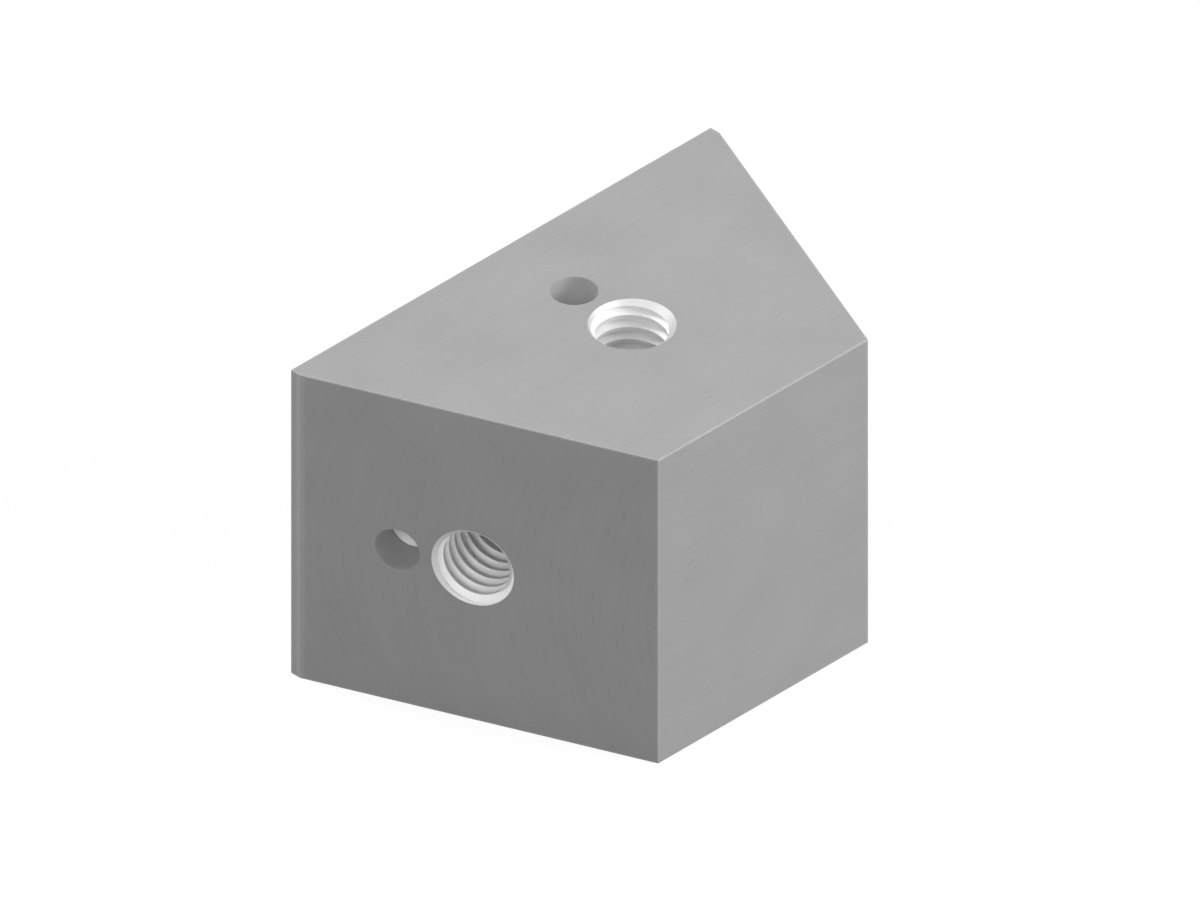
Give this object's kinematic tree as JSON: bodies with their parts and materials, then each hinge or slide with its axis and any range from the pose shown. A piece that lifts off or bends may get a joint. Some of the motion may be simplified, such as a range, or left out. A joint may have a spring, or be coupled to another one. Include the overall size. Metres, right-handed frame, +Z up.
{
  "type": "truss corner",
  "caption": "Square-bar corner block with mitred ends and a tapped screw hole beside a locating pin hole in each joint face, joining the struts of a polygonal truss ring.",
  "frame": {"origin": "on the bottom face, under the middle of the block's box", "axes": "+Z up out of the top joint face, Y along the bar between its blunt tips, and +X out of the bar's short side"},
  "size_m": [0.025, 0.04, 0.025],
  "materials": {
    "milled_aluminium": "fine milled and lightly blasted, matt"
  },
  "bodies": {
    "root": {"corner_block": "milled_aluminium"}
  },
  "joints": []
}
